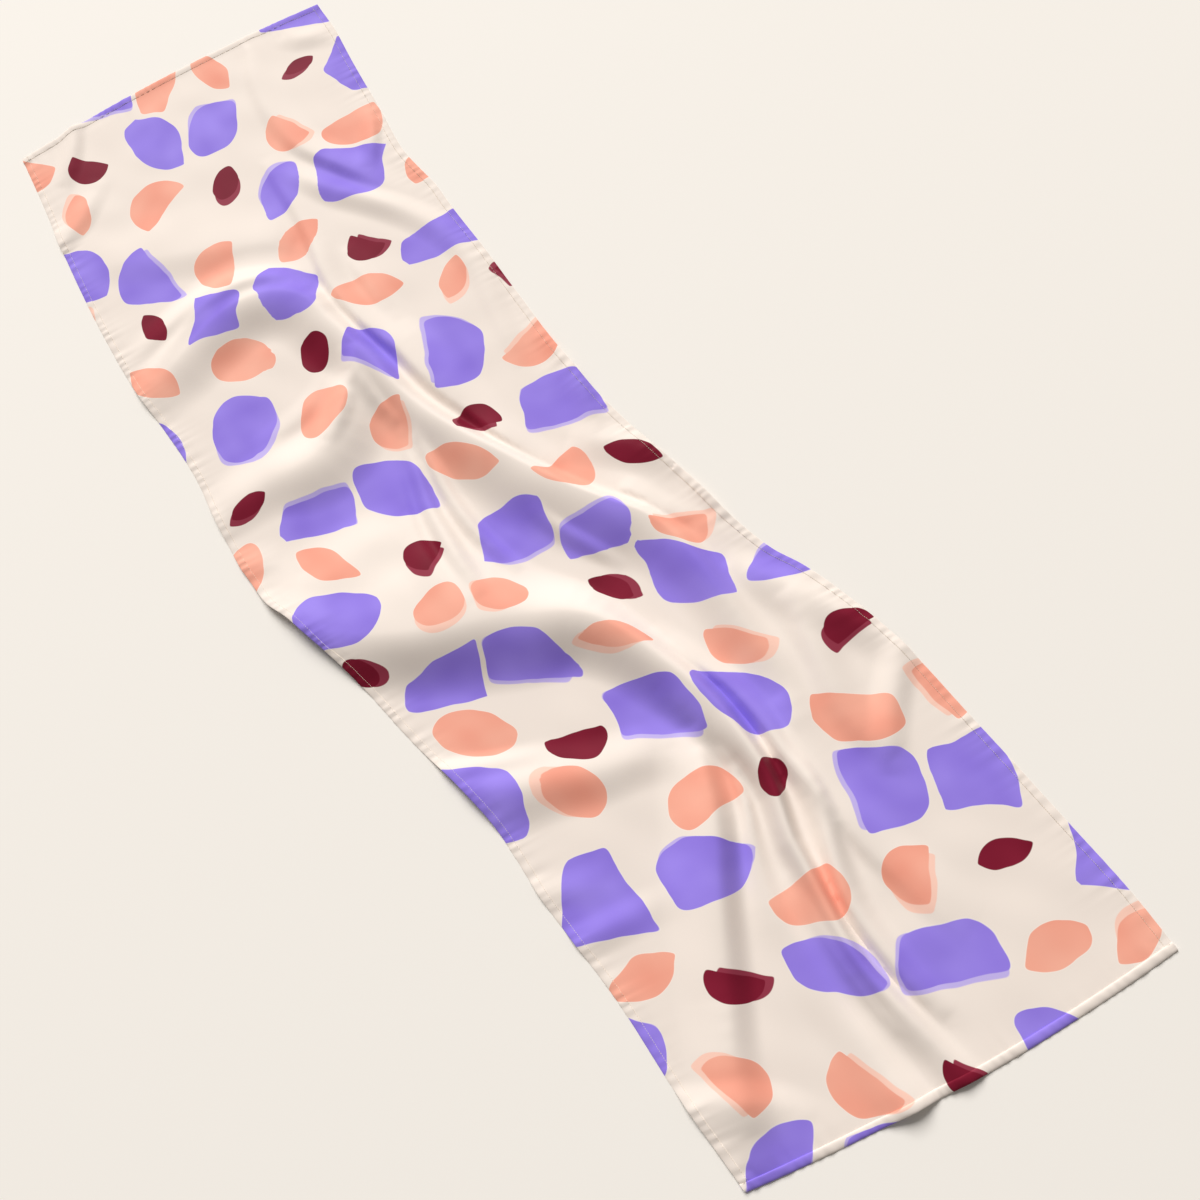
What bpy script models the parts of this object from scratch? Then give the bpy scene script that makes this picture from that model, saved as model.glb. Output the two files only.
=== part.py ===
"""A satin stole laid out on a table: one long cloth panel with a narrow turned hem all round.

The cloth lies along Y, its far end at +Y, and rests on z = 0. Two long folds cross it
aslant, and smaller ones branch from them. Lengths are in metres.
"""
import math

import bmesh
import bpy
import numpy as np

MM = 0.001

# The cloth as it was cut and hemmed.
STOLE_WIDTH = 500 * MM
STOLE_LENGTH = 1700 * MM
HEM_WIDTH = 10 * MM
CLOTH_WALL = 1.0 * MM
HEM_WALL = 1.0 * MM
SEAM_GAP = 0.3 * MM
HEM_STEP = 10 * MM          # over this much cloth the panel comes down from its hem
END_BOW = 13 * MM           # how far the middle of each short end lies past its corners

# How finely the panel is divided between its hems.
PANEL_COLUMNS = 26
PANEL_ROWS = 88

# Where the two long edges lie, in mm: along = cloth measured from the near end.
LEFT_EDGE = (
    # along,    x,    y
    (0, -215, -800),
    (118, -215, -683),
    (216, -210, -584),
    (355, -213, -446),
    (470, -210, -334),
    (520, -217, -285),
    (585, -231, -222),
    (666, -243, -142),
    (745, -253, -66),
    (795, -255, -24),
    (830, -263, 14),
    (866, -276, 50),
    (908, -279, 95),
    (1013, -271, 199),
    (1078, -263, 263),
    (1168, -262, 352),
    (1263, -264, 447),
    (1354, -258, 537),
    (1515, -238, 697),
    (1615, -222, 796),
    (1700, -210, 880),
)
RIGHT_EDGE = (
    # along,    x,    y
    (0, 278, -880),
    (53, 282, -826),
    (172, 283, -708),
    (293, 283, -588),
    (440, 281, -442),
    (501, 273, -381),
    (565, 260, -320),
    (600, 249, -289),
    (658, 239, -230),
    (739, 232, -150),
    (818, 220, -72),
    (897, 212, 6),
    (988, 210, 96),
    (1086, 215, 194),
    (1182, 221, 289),
    (1270, 225, 377),
    (1312, 228, 418),
    (1348, 226, 454),
    (1385, 225, 488),
    (1474, 239, 578),
    (1577, 255, 678),
    (1643, 267, 744),
    (1700, 272, 800),
)

# The folds, in mm. A row is a point of the crest, its height, and how far the cloth takes
# to come down on the left and on the right of someone who walks down the table's rows.
FOLDS = {
    "upper_long_fold": (
        # x,    y,  height, left, right
        (-300, 404, 4, 46, 56),
        (-250, 409, 7, 46, 60),
        (-199, 416, 11, 46, 66),
        (-149, 429, 14, 46, 72),
        (-109, 434, 17, 46, 70),
        (-80, 431, 18, 44, 70),
        (-48, 420, 18, 43, 70),
        (-25, 400, 19, 40, 70),
        (-8, 367, 20, 34, 70),
        (-4, 331, 20, 27, 68),
        (2, 290, 21, 25, 60),
        (7, 251, 22, 24, 50),
        (10, 211, 22, 23, 46),
        (13, 175, 22, 22, 46),
        (19, 143, 22, 22, 50),
        (27, 109, 23, 22, 56),
        (37, 79, 24, 22, 64),
        (64, 11, 25, 22, 74),
        (94, -62, 25, 22, 80),
        (130, -129, 23, 22, 80),
        (147, -157, 21, 22, 76),
        (158, -195, 19, 24, 66),
        (160, -240, 18, 26, 56),
        (157, -290, 15, 28, 50),
        (155, -340, 11, 30, 44),
        (152, -400, 6, 32, 38),
        (150, -460, 2, 34, 34),
        (148, -510, 0, 34, 34),
    ),
    "lower_long_fold": (
        (-300, 44, 4, 80, 52),
        (-275, 16, 9, 110, 58),
        (-252, -13, 14, 150, 64),
        (-225, -45, 19, 178, 70),
        (-200, -70, 24, 190, 76),
        (-150, -106, 28, 195, 83),
        (-100, -135, 28, 175, 88),
        (-50, -164, 27, 90, 90),
        (-20, -186, 27, 66, 84),
        (4, -203, 27, 52, 78),
        (22, -222, 28, 42, 73),
        (36, -248, 28, 34, 68),
        (46, -276, 28, 29, 63),
        (54, -308, 27, 26, 60),
        (62, -340, 26, 24, 58),
        (68, -370, 26, 22, 56),
        (71, -400, 25, 20, 50),
        (71, -430, 25, 18, 42),
        (70, -460, 24, 17, 34),
        (67, -485, 23, 16, 29),
        (61, -510, 22, 16, 26),
        (51, -535, 21, 16, 25),
        (42, -560, 20, 16, 24),
        (36, -590, 19, 16, 24),
        (30, -620, 18, 16, 24),
        (22, -660, 18, 16, 24),
        (17, -700, 17, 17, 25),
        (19, -745, 15, 18, 27),
        (23, -790, 11, 20, 30),
        (29, -840, 6, 24, 32),
        (36, -900, 4, 28, 36),
    ),
    "far_diagonal_fold": (
        (-240, 655, 0, 60, 42),
        (-188, 622, 3, 80, 44),
        (-138, 590, 4, 90, 46),
        (-88, 556, 5, 90, 48),
        (-38, 523, 5, 80, 48),
        (2, 496, 4, 60, 42),
        (27, 470, 0, 40, 32),
    ),
    "arch_shoulder_fold": (
        (-262, 470, 0, 30, 22),
        (-210, 476, 3, 32, 24),
        (-150, 477, 4, 34, 24),
        (-100, 473, 4, 34, 24),
        (-60, 461, 5, 30, 22),
        (-25, 442, 4, 24, 20),
        (0, 420, 0, 20, 18),
    ),
    "hollow_side_fold": (
        (-275, 182, 4, 50, 44),
        (-235, 188, 7, 56, 46),
        (-190, 187, 10, 60, 54),
        (-150, 174, 15, 62, 68),
        (-110, 171, 16, 62, 72),
        (-80, 184, 16, 58, 68),
        (-57, 204, 16, 50, 60),
        (-37, 226, 13, 42, 50),
        (-17, 250, 6, 36, 42),
        (0, 272, 0, 30, 34),
    ),
    "hollow_foot_fold": (
        (-225, 56, 0, 56, 56),
        (-190, 38, 4, 60, 60),
        (-150, 30, 5, 62, 62),
        (-110, 30, 4, 60, 60),
        (-75, 38, 0, 56, 56),
    ),
    "far_right_fold": (
        (165, 832, 0, 30, 18),
        (145, 788, 3, 36, 20),
        (126, 742, 4, 42, 22),
        (117, 700, 4, 45, 22),
        (113, 650, 4, 45, 22),
        (116, 605, 5, 42, 20),
        (130, 566, 6, 40, 19),
        (146, 530, 6, 38, 19),
        (160, 495, 4, 36, 20),
        (175, 455, 2, 34, 22),
        (192, 412, 0, 30, 22),
    ),
    "far_slant_fold": (
        (78, 592, 0, 24, 24),
        (94, 545, 5, 28, 27),
        (114, 503, 7, 28, 29),
        (136, 468, 7, 26, 30),
        (156, 434, 7, 26, 30),
        (174, 396, 6, 28, 30),
        (190, 350, 5, 30, 28),
        (195, 300, 5, 30, 26),
        (190, 250, 4, 28, 24),
        (177, 200, 4, 26, 22),
        (165, 150, 3, 24, 22),
        (155, 105, 0, 22, 20),
    ),
    "right_hem_fold": (
        (214, 135, 0, 16, 34),
        (210, 92, 6, 16, 34),
        (201, 50, 7, 16, 34),
        (188, 8, 6, 18, 34),
        (178, -35, 0, 20, 34),
    ),
    "edge_fold_middle": (
        (-262, -240, 3, 44, 50),
        (-235, -270, 8, 48, 60),
        (-200, -303, 11, 50, 66),
        (-165, -328, 11, 50, 56),
        (-120, -350, 9, 48, 48),
        (-75, -370, 8, 46, 44),
        (-40, -384, 7, 44, 40),
        (-15, -394, 3, 42, 38),
        (5, -402, 0, 40, 38),
    ),
    "edge_fold_near": (
        (-215, -438, 3, 26, 24),
        (-190, -450, 3, 26, 25),
        (-165, -462, 2, 26, 26),
        (-140, -472, 0, 26, 26),
    ),
    "edge_fold_nearer": (
        (-218, -504, 3, 24, 26),
        (-185, -510, 4, 24, 28),
        (-145, -518, 3, 24, 28),
        (-108, -526, 1, 24, 28),
        (-80, -535, 0, 24, 28),
    ),
    "edge_fold_nearest": (
        (-225, -702, 4, 28, 40),
        (-190, -718, 5, 28, 42),
        (-160, -738, 5, 28, 44),
        (-135, -762, 3, 28, 42),
        (-118, -790, 0, 26, 36),
    ),
    "branch_fold": (
        (34, -395, 0, 24, 44),
        (24, -422, 9, 24, 54),
        (10, -452, 15, 25, 62),
        (-3, -481, 18, 28, 66),
        (-22, -512, 19, 31, 66),
        (-48, -547, 19, 32, 66),
        (-72, -582, 18, 32, 64),
        (-97, -620, 16, 33, 62),
        (-122, -658, 13, 33, 58),
        (-146, -695, 8, 33, 50),
        (-162, -730, 4, 32, 42),
        (-174, -765, 0, 30, 40),
    ),
    "near_middle_fold": (
        (42, -430, 0, 9, 10),
        (42, -455, 4, 9, 11),
        (36, -480, 7, 10, 13),
        (27, -505, 8, 12, 15),
        (14, -528, 7, 15, 17),
        (0, -555, 6, 18, 22),
        (-16, -600, 5, 20, 36),
        (-22, -660, 4, 20, 42),
        (-28, -720, 5, 22, 40),
        (-30, -780, 7, 26, 40),
        (-30, -840, 11, 32, 44),
        (-30, -900, 12, 36, 46),
    ),
    "right_edge_fold": (
        (188, -262, 0, 24, 30),
        (208, -302, 6, 28, 36),
        (226, -345, 8, 30, 38),
        (244, -388, 8, 28, 38),
        (260, -433, 5, 24, 34),
        (270, -480, 0, 20, 30),
    ),
    "right_inner_fold": (
        (214, -335, 0, 34, 26),
        (210, -372, 8, 36, 28),
        (202, -408, 10, 40, 29),
        (191, -442, 10, 42, 29),
        (181, -480, 8, 42, 28),
        (181, -520, 6, 40, 28),
        (188, -560, 0, 36, 26),
    ),
    "right_near_fold": (
        (275, -472, 4, 26, 30),
        (248, -492, 6, 26, 30),
        (222, -515, 6, 26, 30),
        (196, -542, 4, 26, 30),
        (172, -572, 0, 26, 30),
    ),
    "far_left_fold": (
        (-255, 700, 4, 40, 26),
        (-230, 708, 5, 40, 26),
        (-200, 716, 5, 40, 26),
        (-165, 738, 4, 40, 26),
        (-135, 765, 0, 40, 26),
    ),
    "far_hem_tuck_left": (
        (-122, 868, 5, 20, 30),
        (-140, 838, 6, 20, 30),
        (-162, 810, 4, 22, 30),
        (-185, 790, 0, 22, 30),
    ),
}
CREST_STEP = 18 * MM        # a crest is read this often along its way
CREST_BLEND = 9 * MM        # how softly one stretch of a crest hands over to the next
SHOULDER = 0.95             # under 1, a fold's top is narrower than its foot
DRAW_IN_CORE = 16 * MM      # a fold takes up cloth from this close on either side,
DRAW_IN_REACH = 120 * MM    # and the cloth round it makes way out to here
DRAW_IN_SHARE = 0.4         # of the fold's height, at most

CREAM_SATIN = (0.90, 0.82, 0.74, 1.0)
HEM_SATIN = (0.84, 0.75, 0.66, 1.0)


def smooth_curve(knots, values, at):
    """Read a smooth curve through (knots, values) at the given places."""
    knots = np.asarray(knots, float)
    values = np.asarray(values, float)
    slopes = np.gradient(values, knots, axis=0)
    index = np.clip(np.searchsorted(knots, at, side="right") - 1, 0, len(knots) - 2)
    span = knots[index + 1] - knots[index]
    part = (at - knots[index]) / span
    if values.ndim > 1:
        span = span[..., None]
        part = part[..., None]
    start = (1 + 2 * part) * (1 - part) ** 2 * values[index]
    start_slope = part * (1 - part) ** 2 * span * slopes[index]
    end = part ** 2 * (3 - 2 * part) * values[index + 1]
    end_slope = part ** 2 * (part - 1) * span * slopes[index + 1]
    return start + start_slope + end + end_slope


def ease(value):
    """Go from 0 to 1 with no kink at either end."""
    value = np.clip(value, 0.0, 1.0)
    return value * value * (3 - 2 * value)


def read_edge(table, along):
    rows = np.array(table, float) * MM
    return smooth_curve(rows[:, 0], rows[:, 1:], along)


def read_fold(table):
    """Give the crest's points with their height, left width and right width."""
    rows = np.array(table, float) * MM
    steps = np.linalg.norm(np.diff(rows[:, :2], axis=0), axis=1)
    walked = np.concatenate([[0.0], np.cumsum(steps)])
    count = int(walked[-1] / CREST_STEP) + 2
    return smooth_curve(walked, rows, np.linspace(0, walked[-1], count))


FOLD_CRESTS = [read_fold(table) for table in FOLDS.values()]
LONG_CRESTS = FOLD_CRESTS[:2]


def nearest_on_crest(crest, points):
    """Give each point's signed distance to the crest (left is +), and the crest's sizes there."""
    start = crest[:-1, :2]
    run = crest[1:, :2] - start
    length = np.linalg.norm(run, axis=1)
    run = run / length[:, None]
    offset = points[:, None, :] - start[None, :, :]
    walked = np.clip((offset * run).sum(axis=2), 0.0, length)
    aside = offset - walked[:, :, None] * run
    distance = np.linalg.norm(aside, axis=2)
    side = np.sign(run[:, 0] * offset[:, :, 1] - run[:, 1] * offset[:, :, 0])
    closest = distance.min(axis=1)
    weight = np.exp(-(distance - closest[:, None]) / CREST_BLEND)
    weight = weight / weight.sum(axis=1)[:, None]
    part = walked / length
    sizes = crest[:-1, 2:] + part[:, :, None] * (crest[1:, 2:] - crest[:-1, 2:])
    sizes = (weight[:, :, None] * sizes).sum(axis=1)
    best = distance.argmin(axis=1)
    picked = np.arange(len(points))
    direction = np.stack([-run[best, 1], run[best, 0]], axis=1)
    return side[picked, best] * closest, sizes, direction


def draw_into_folds(points):
    """Move the cloth sideways towards each crest, which takes up more than it covers."""
    moved = points.copy()
    for crest in LONG_CRESTS:
        distance, sizes, direction = nearest_on_crest(crest, points)
        reach = np.exp(-0.5 * (distance / DRAW_IN_REACH) ** 2)
        steeper = 0.5 * (sizes[:, 2] - sizes[:, 1]) * sizes[:, 1:].min(axis=1) / sizes[:, 1:].max(axis=1)
        side = np.tanh((distance - steeper) / DRAW_IN_CORE)
        pull = DRAW_IN_SHARE * sizes[:, 0] * side * reach
        moved -= pull[:, None] * direction
    return moved


def fold_height(points):
    height = np.zeros(len(points))
    for crest in FOLD_CRESTS:
        distance, sizes, _ = nearest_on_crest(crest, points)
        width = np.where(distance > 0, sizes[:, 1], sizes[:, 2])
        share = np.clip(np.abs(distance) / width, 0.0, 1.0) ** SHOULDER
        height += np.maximum(sizes[:, 0], 0.0) * 0.5 * (1 + np.cos(math.pi * share))
    return height


def hem_lift(across, along):
    """Give how much higher the panel lies where its hem is turned under it."""
    side = np.minimum(across, STOLE_WIDTH - across)
    end = np.minimum(along, STOLE_LENGTH - along)
    inside = np.minimum(side, end)
    return (HEM_WALL + SEAM_GAP) * (1 - ease((inside - HEM_WIDTH) / HEM_STEP))


def cloth_points(across, along):
    """Place points of the flat cloth on the panel's underside."""
    left = read_edge(LEFT_EDGE, along)
    right = read_edge(RIGHT_EDGE, along)
    share = (across / STOLE_WIDTH)[:, None]
    plan = left * (1 - share) + right * share
    bow = 4 * share[:, 0] * (1 - share[:, 0]) * END_BOW
    plan[:, 1] += bow * (2 * along / STOLE_LENGTH - 1) ** 3
    plan = draw_into_folds(plan)
    height = fold_height(plan) + hem_lift(across, along)
    return np.column_stack([plan, height])


def satin(name, colour):
    material = bpy.data.materials.new(name)
    material.use_nodes = True
    shader = material.node_tree.nodes["Principled BSDF"]
    shader.inputs["Base Color"].default_value = colour
    shader.inputs["Roughness"].default_value = 0.38
    shader.inputs["Metallic"].default_value = 0.0
    material.diffuse_color = colour
    return material


def cloth_piece(name, columns, rows, wall, below, material):
    """Make one piece of cloth: a grid at the given places, given its thickness upwards."""
    bpy.ops.mesh.primitive_grid_add(
        x_subdivisions=len(columns) - 1,
        y_subdivisions=len(rows) - 1,
        size=2.0,
    )
    piece = bpy.context.object
    piece.name = name
    piece.data.name = name
    flat = np.empty(len(piece.data.vertices) * 3)
    piece.data.vertices.foreach_get("co", flat)
    flat = flat.reshape(-1, 3)
    column = np.rint((flat[:, 0] + 1) / 2 * (len(columns) - 1)).astype(int)
    row = np.rint((flat[:, 1] + 1) / 2 * (len(rows) - 1)).astype(int)
    across = np.asarray(columns)[column]
    along = np.asarray(rows)[row]
    placed = cloth_points(across, along)
    piece.data.vertices.foreach_set("co", placed.astype(np.float32).ravel())
    split_along_folds(piece.data, across, along)
    normals = np.empty(len(piece.data.vertices) * 3)
    piece.data.vertices.foreach_get("normal", normals)
    placed = placed - below * normals.reshape(-1, 3)
    piece.data.vertices.foreach_set("co", placed.astype(np.float32).ravel())
    thick = piece.modifiers.new("cloth_wall", "SOLIDIFY")
    thick.thickness = wall
    thick.offset = 1.0
    piece.data.materials.append(material)
    return piece


def split_along_folds(mesh, across, along):
    """Split each square on the diagonal that lies nearer to the cloth at its middle."""
    shape = bmesh.new()
    shape.from_mesh(mesh)
    squares = shape.faces[:]
    corners = np.array([[vert.index for vert in square.verts] for square in squares])
    heights = cloth_points(across, along)[:, 2][corners]
    middles = cloth_points(across[corners].mean(axis=1), along[corners].mean(axis=1))
    first_off = np.abs(heights[:, 0] + heights[:, 2] - 2 * middles[:, 2])
    second_off = np.abs(heights[:, 1] + heights[:, 3] - 2 * middles[:, 2])
    for square, starts_at in zip(squares, (second_off < first_off).astype(int)):
        bmesh.utils.face_split(square, square.verts[starts_at], square.verts[starts_at + 2])
    shape.to_mesh(mesh)
    shape.free()


def spaced(first, last, count):
    return list(np.linspace(first, last, count + 1))


def build_stole():
    collection = bpy.data.collections.new("stole")
    bpy.context.scene.collection.children.link(collection)
    cream = satin("cream_satin", CREAM_SATIN)
    hem = satin("hem_satin", HEM_SATIN)

    inner = HEM_WIDTH + HEM_STEP
    columns = [0.0, HEM_WIDTH]
    columns += spaced(inner, STOLE_WIDTH - inner, PANEL_COLUMNS)
    columns += [STOLE_WIDTH - HEM_WIDTH, STOLE_WIDTH]
    rows = [0.0, HEM_WIDTH]
    rows += spaced(inner, STOLE_LENGTH - inner, PANEL_ROWS)
    rows += [STOLE_LENGTH - HEM_WIDTH, STOLE_LENGTH]

    below_hem = SEAM_GAP + HEM_WALL
    side_rows = [HEM_WIDTH + SEAM_GAP] + rows[2:-2] + [STOLE_LENGTH - HEM_WIDTH - SEAM_GAP]
    left_columns = columns[:2]
    right_columns = columns[-2:]
    pieces = [
        cloth_piece("cloth_panel", columns, rows, CLOTH_WALL, 0.0, cream),
        cloth_piece("hem_left", left_columns, side_rows, HEM_WALL, below_hem, hem),
        cloth_piece("hem_right", right_columns, side_rows, HEM_WALL, below_hem, hem),
        cloth_piece("hem_near", columns, rows[:2], HEM_WALL, below_hem, hem),
        cloth_piece("hem_far", columns, rows[-2:], HEM_WALL, below_hem, hem),
    ]
    for piece in pieces:
        for home in list(piece.users_collection):
            home.objects.unlink(piece)
        collection.objects.link(piece)


for old in list(bpy.data.objects):
    bpy.data.objects.remove(old, do_unlink=True)
build_stole()
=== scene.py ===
import math

import bmesh
import bpy
import numpy as np
from mathutils import Matrix, Vector


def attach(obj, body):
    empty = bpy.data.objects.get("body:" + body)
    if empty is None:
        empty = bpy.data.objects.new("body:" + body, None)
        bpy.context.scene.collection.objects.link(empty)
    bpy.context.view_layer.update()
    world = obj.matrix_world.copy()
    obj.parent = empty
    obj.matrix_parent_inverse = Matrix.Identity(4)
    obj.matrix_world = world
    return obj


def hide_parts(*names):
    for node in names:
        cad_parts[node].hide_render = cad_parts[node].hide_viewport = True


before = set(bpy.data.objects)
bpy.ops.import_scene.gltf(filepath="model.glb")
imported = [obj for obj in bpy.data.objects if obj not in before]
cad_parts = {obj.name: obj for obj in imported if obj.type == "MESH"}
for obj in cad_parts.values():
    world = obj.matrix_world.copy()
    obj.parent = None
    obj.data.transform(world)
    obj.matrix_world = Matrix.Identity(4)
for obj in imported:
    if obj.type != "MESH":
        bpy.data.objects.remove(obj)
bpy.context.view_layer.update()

# --------------------------------------------------------------------------
# The cloth: one rectangle of satin-woven polyester, printed on its face and laid face up.
# It slid together a little as it was laid, so two long folds cross it aslant, and smaller
# ones branch off them.
MM = 0.001
CLOTH_WIDTH = 500 * MM
CLOTH_LENGTH = 1700 * MM
HEM_WIDTH = 9.6 * MM
CLOTH_THICKNESS = 0.35 * MM
END_BOW = 13 * MM           # how far the middle of each short end lies past its corners
FAR_END_CURL = 1.6 * MM     # the far end turns up this much,
FAR_END_CURL_LENGTH = 13 * MM           # over this distance

# Where the two long edges lie, in mm. Across and along are places on the flat cloth, from
# its near left corner, and x, y and z are places on the table.
LEFT_EDGE = (
    # along,    x,    y
    (0, -215, -800),
    (118, -215, -683),
    (216, -210, -584),
    (355, -213, -446),
    (470, -210, -334),
    (520, -217, -285),
    (585, -231, -222),
    (666, -243, -142),
    (745, -253, -66),
    (795, -255, -24),
    (830, -263, 14),
    (866, -276, 50),
    (908, -279, 95),
    (1013, -271, 199),
    (1078, -263, 263),
    (1168, -262, 352),
    (1263, -264, 447),
    (1354, -258, 537),
    (1515, -238, 697),
    (1615, -222, 796),
    (1700, -210, 880),
)
RIGHT_EDGE = (
    # along,    x,    y
    (0, 278, -880),
    (53, 282, -826),
    (172, 283, -708),
    (293, 283, -588),
    (440, 281, -442),
    (501, 273, -381),
    (565, 260, -320),
    (600, 249, -289),
    (658, 239, -230),
    (739, 232, -150),
    (818, 220, -72),
    (897, 212, 6),
    (988, 210, 96),
    (1086, 215, 194),
    (1182, 221, 289),
    (1270, 225, 377),
    (1312, 228, 418),
    (1348, 226, 454),
    (1385, 225, 488),
    (1474, 239, 578),
    (1577, 255, 678),
    (1643, 267, 744),
    (1700, 272, 800),
)

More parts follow.
